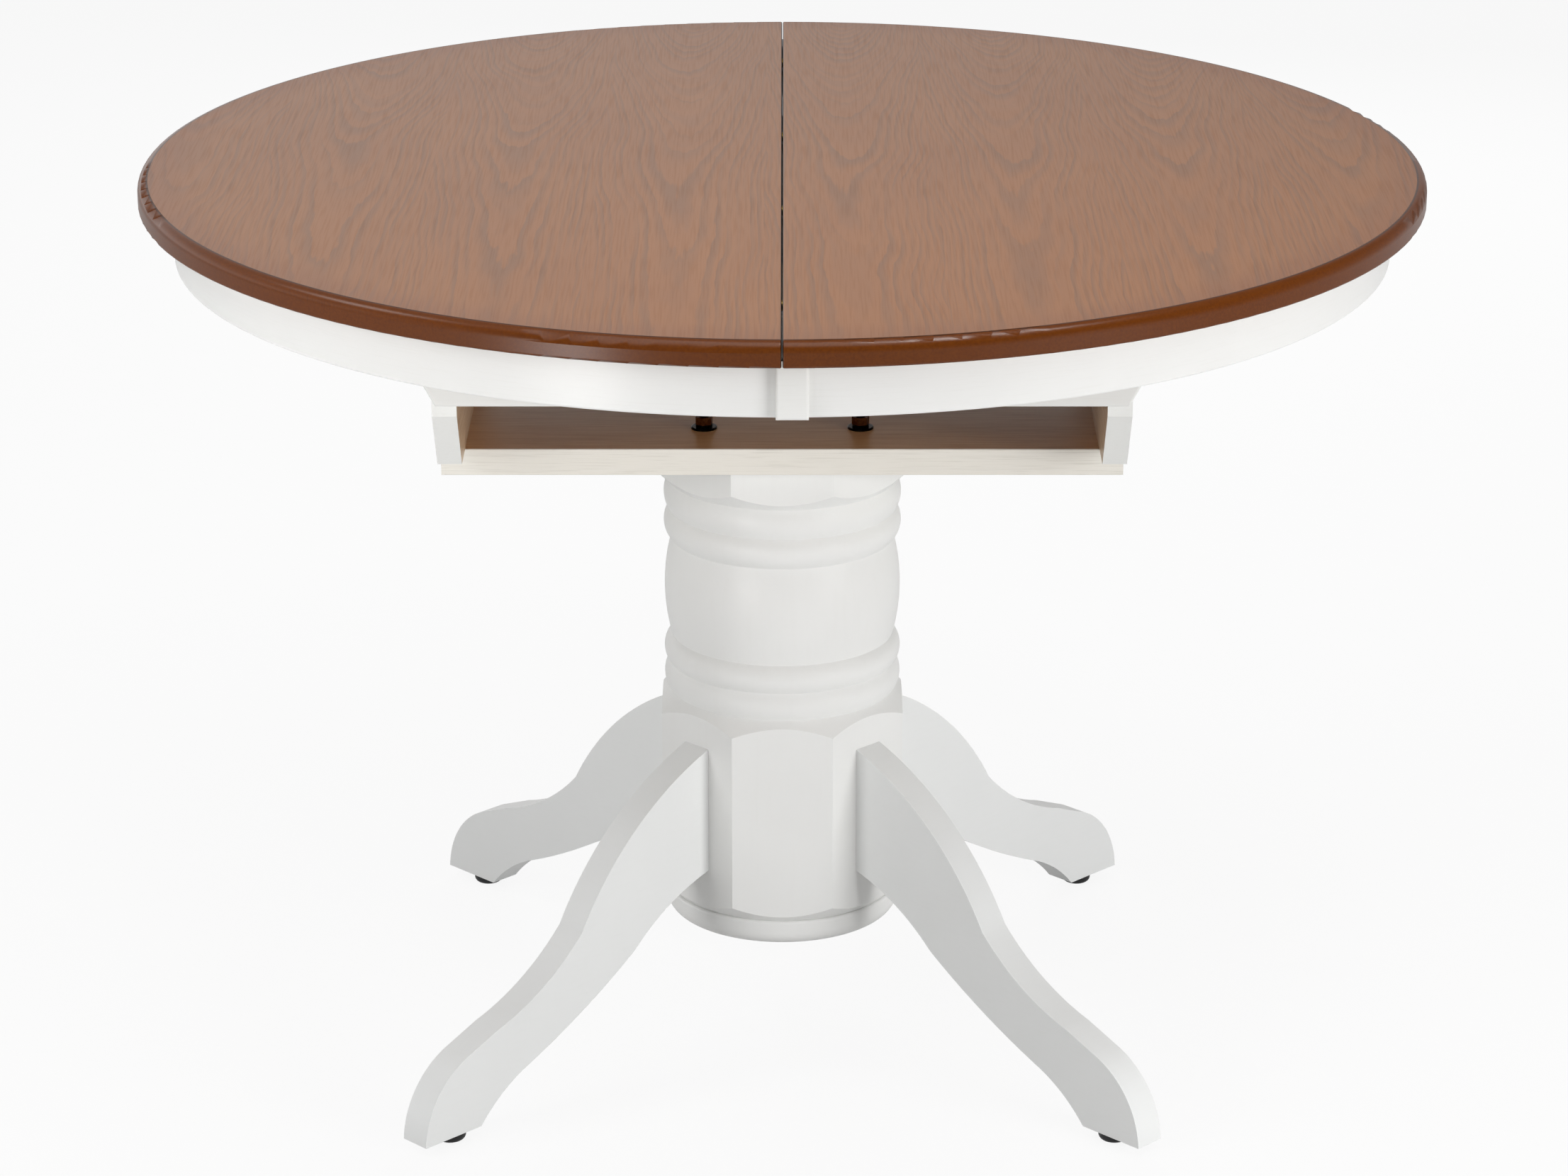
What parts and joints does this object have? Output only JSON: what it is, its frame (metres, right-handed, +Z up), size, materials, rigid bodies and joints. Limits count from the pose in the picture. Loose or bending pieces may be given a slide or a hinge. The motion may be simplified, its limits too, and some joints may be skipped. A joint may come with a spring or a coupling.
{
  "type": "butterfly leaf table",
  "caption": "Round pedestal dining table with sliding top halves on geared wooden slides and a folding leaf stored under the top.",
  "frame": {"origin": "on the floor, in the middle of the glides' footprint, under the centre of the round top", "axes": "+Z up; +X is the way the right half slides; the seam runs along Y; -Y is the front"},
  "size_m": [1.06, 1.06, 0.76],
  "materials": {
    "stained_top": "brown stain under satin lacquer",
    "white_lacquer": "warm white satin lacquer",
    "stained_plank": "brown stain, satin",
    "plain_hardwood": "unfinished hardwood",
    "beech_gearing": "unfinished beech",
    "white_nylon": "moulded",
    "zinc_steel": "zinc plated",
    "yellow_zinc": "yellow passivated steel",
    "black_steel": "black",
    "brass_fittings": "satin",
    "black_nylon": "moulded",
    "felt": "felt"
  },
  "bodies": {
    "pedestal_and_box": {"box_screws": "zinc_steel", "column_foot_disc": "white_lacquer", "floor_glides": "black_nylon", "foot_disc_screws": "zinc_steel", "front_rail": "white_lacquer", "glide_screws": "zinc_steel", "leaf_felt_strips": "felt", "leaf_hinge_links": "brass_fittings", "leaf_hinge_screws_lower": "brass_fittings", "leaf_hinge_straps_lower": "brass_fittings", "leaf_pins_lower": "brass_fittings", "leaf_wing_lower": "stained_top", "leg_bolt_nuts": "zinc_steel", "leg_bolt_washers": "zinc_steel", "leg_front_left": "white_lacquer", "leg_front_right": "white_lacquer", "leg_hanger_bolts": "zinc_steel", "leg_rear_left": "white_lacquer", "leg_rear_right": "white_lacquer", "mounting_plank": "stained_plank", "pedestal_column": "white_lacquer", "pinion_pins": "zinc_steel", "plank_hanger_bolts": "yellow_zinc", "plank_nuts": "yellow_zinc", "plank_spring_washers": "black_steel", "plank_washers": "black_steel", "rear_rail": "white_lacquer", "side_board_left": "white_lacquer", "side_board_right": "white_lacquer"},
    "right_half": {"tabletop_half_right": "stained_top", "apron_right": "white_lacquer", "apron_glue_blocks_right": "plain_hardwood", "apron_lap_block_front": "white_lacquer", "runner_right_front": "plain_hardwood", "runner_right_rear": "plain_hardwood", "slide_racks_right": "beech_gearing", "underside_screws_right": "zinc_steel", "alignment_pins": "brass_fittings", "lock_plates": "zinc_steel"},
    "left_half": {"tabletop_half_left": "stained_top", "apron_left": "white_lacquer", "apron_glue_blocks_left": "plain_hardwood", "apron_lap_block_rear": "white_lacquer", "runner_left_front": "plain_hardwood", "runner_left_rear": "plain_hardwood", "slide_racks_left": "beech_gearing", "underside_screws_left": "zinc_steel", "alignment_bushings": "brass_fittings", "lock_keepers": "zinc_steel"},
    "pinion_front": {"pinion_front": "white_nylon"},
    "pinion_rear": {"pinion_rear": "white_nylon"},
    "lock_lever_front": {"lock_lever_front": "zinc_steel"},
    "lock_lever_rear": {"lock_lever_rear": "zinc_steel"},
    "leaf_upper": {"leaf_wing_upper": "stained_top", "leaf_hinge_straps_upper": "brass_fittings", "leaf_hinge_screws_upper": "brass_fittings", "leaf_pins_upper": "brass_fittings"}
  },
  "joints": [
    {"name": "right_top_slide", "type": "slide", "parent": "pedestal_and_box", "child": "right_half", "axis": [1, 0, 0], "range_m": [0, 0.175]},
    {"name": "left_top_slide", "type": "slide", "parent": "pedestal_and_box", "child": "left_half", "axis": [1, 0, 0], "range_m": [-0.1755, 0]},
    {"name": "pinion_front_spin", "type": "hinge", "parent": "pedestal_and_box", "child": "pinion_front", "pos_m": [0, -0.212, 0.729], "axis": [0, 0, 1], "range_deg": [-838, 0]},
    {"name": "pinion_rear_spin", "type": "hinge", "parent": "pedestal_and_box", "child": "pinion_rear", "pos_m": [0, 0.212, 0.729], "axis": [0, 0, 1], "range_deg": [-838, 0]},
    {"name": "lock_front_swing", "type": "hinge", "parent": "right_half", "child": "lock_lever_front", "pos_m": [0.027, -0.35, 0.736], "axis": [0, 0, -1], "range_deg": [0, 90]},
    {"name": "lock_rear_swing", "type": "hinge", "parent": "right_half", "child": "lock_lever_rear", "pos_m": [0.027, 0.35, 0.736], "axis": [0, 0, 1], "range_deg": [0, 90]},
    {"name": "leaf_fold", "type": "hinge", "parent": "pedestal_and_box", "child": "leaf_upper", "pos_m": [-0.258, 0, 0.62975], "axis": [0, -1, 0], "range_deg": [0, 10]}
  ],
  "couplings": [
    {"joint": "left_top_slide", "follows": "right_top_slide", "ratio": -1},
    {"joint": "pinion_front_spin", "follows": "right_top_slide", "rad_per_m": -83.333},
    {"joint": "pinion_rear_spin", "follows": "right_top_slide", "rad_per_m": -83.333}
  ]
}
